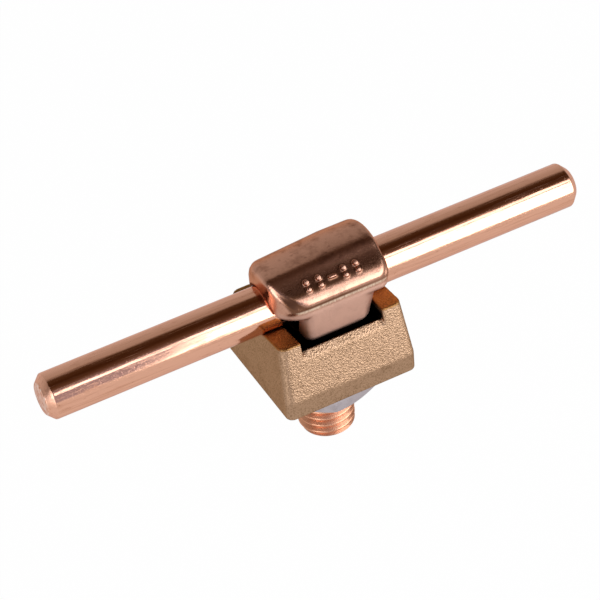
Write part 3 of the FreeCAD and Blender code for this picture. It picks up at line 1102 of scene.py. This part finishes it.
def makeFloor():
    size = studio
    deselectAll()
    place = (0, 0, size["floorHeight"])
    bpy.ops.mesh.primitive_plane_add(size=size["floorSize"], location=place)
    floor = takeNew("floor")
    material = bpy.data.materials.new("floor")
    sheet = Sheet(material)
    seen = sheet.node("ShaderNodeLightPath", out="Is Camera Ray")
    glossy = sheet.node("ShaderNodeLightPath", out="Is Glossy Ray")
    through = sheet.node("ShaderNodeLightPath", out="Is Transmission Ray")
    mirrored = sheet.ease(glossy + through, 0.0, 1.0)
    matte = sheet.node("ShaderNodeBsdfDiffuse", values={"Color": size["floorColour"]})
    white = {"Color": size["backdrop"], "Strength": 1.0}
    plain = sheet.node("ShaderNodeEmission", values=white)
    shine = {"Color": size["backdrop"], "Strength": size["floorShine"]}
    glow = sheet.node("ShaderNodeEmission", values=shine)
    share = seen * (1 - size["shadowShare"])
    face = sheet.node("ShaderNodeMixShader", values={0: share, 1: matte, 2: plain})
    whole = sheet.node("ShaderNodeMixShader", values={0: mirrored, 1: face, 2: glow})
    sheet.node("ShaderNodeOutputMaterial", values={"Surface": whole})
    dress(floor, material)


def makeWorld():
    world = bpy.data.worlds.new("studio")
    bpy.context.scene.world = world
    sheet = Sheet(world)
    direction = sheet.node("ShaderNodeTexCoord", out="Generated")
    forward = 0.0 - sheet.node("ShaderNodeSeparateXYZ", values={0: direction}, out="Y")
    upward = sheet.node("ShaderNodeSeparateXYZ", values={0: direction}, out="Z")
    angle = sheet.maths("ARCTAN2", forward, upward)
    turn = angle * (0.5 / math.pi) + 0.5    # as a share of a whole turn, as the stops are
    stops = [(degrees / 360 + 0.5, colour) for degrees, colour in studio["room"]]
    room = sheet.node("ShaderNodeValToRGB", {"stops": stops}, {0: turn})
    surround = sheet.node("ShaderNodeBackground", values={"Color": room, "Strength": 1.0})
    white = {"Color": studio["backdrop"], "Strength": 1.0}
    backdrop = sheet.node("ShaderNodeBackground", values=white)
    seen = sheet.node("ShaderNodeLightPath", out="Is Camera Ray")
    whole = sheet.node("ShaderNodeMixShader", values={0: seen, 1: surround, 2: backdrop})
    sheet.node("ShaderNodeOutputWorld", values={"Surface": whole})


# angle is from straight up towards the front, and right a share of the reach
softboxes = {
    "strip": dict(
        reach=0.62, angle=44.5, right=0.36, width=0.72, height=0.095, roll=-3.0, radiance=2.6
    ),
    "front": dict(
        reach=0.62, angle=80.0, right=0.60, width=0.66, height=0.58, roll=-9.0, radiance=3.3
    ),
    "side": dict(
        reach=0.55, angle=51.0, right=-0.84, width=0.26, height=0.26, roll=0.0, radiance=2.6
    ),
    "fill": dict(
        reach=0.55, angle=84.0, right=-0.84, width=0.30, height=0.34, roll=0.0, radiance=1.3
    ),
}


def addSoftbox(name, box):
    deselectAll()
    angle = math.radians(box["angle"])
    flat = math.sqrt(1 - box["right"] ** 2)
    away = Vector((box["right"], -flat * math.sin(angle), flat * math.cos(angle)))
    bpy.ops.object.light_add(type="AREA", location=away * box["reach"])
    lamp = bpy.context.object
    lamp.name = name
    lamp.data.shape = "RECTANGLE"
    lamp.data.size = box["width"]
    lamp.data.size_y = box["height"]
    lamp.data.energy = box["radiance"] * math.pi * box["width"] * box["height"]
    sideways = Vector((0, 0, 1)).cross(away).normalized()
    facing = Matrix((sideways, away.cross(sideways), away)).transposed()
    roll = Matrix.Rotation(math.radians(box["roll"]), 3, "Z")
    lamp.rotation_euler = (facing @ roll).to_euler()
    lamp.data.color = studio["lampColour"]
    lamp.visible_camera = False


cameraPlace = {
    "azimuth": -24.717,
    "elevation": 41.03,
    "roll": -5.59,
    "distance": 399.38,         # this and the aim in mm
    "aim": (-2.96, -0.10, -1.46),
    "lens": 144.226,
    "sensor": 36.0,
    "nearest": 0.01,
    "furthest": 50,
}


def makeCamera():
    size = cameraPlace
    turn = (
        Matrix.Rotation(math.radians(size["azimuth"]), 4, "Z")
        @ Matrix.Rotation(math.radians(90 - size["elevation"]), 4, "X")
        @ Matrix.Rotation(math.radians(size["roll"]), 4, "Z")
    )
    camera = bpy.data.objects.new("camera", bpy.data.cameras.new("camera"))
    bpy.context.scene.collection.objects.link(camera)
    away = turn.col[2].xyz * size["distance"] * mm
    camera.matrix_world = Matrix.Translation(Vector(size["aim"]) * mm + away) @ turn
    camera.data.lens = size["lens"]
    camera.data.sensor_width = size["sensor"]
    camera.data.clip_start = size["nearest"]
    camera.data.clip_end = size["furthest"]
    bpy.context.scene.camera = camera


makeFloor()
makeWorld()
for name, box in softboxes.items():
    addSoftbox(name + "_softbox", box)
makeCamera()
bpy.context.scene.view_settings.view_transform = "Standard"
print("studio made")
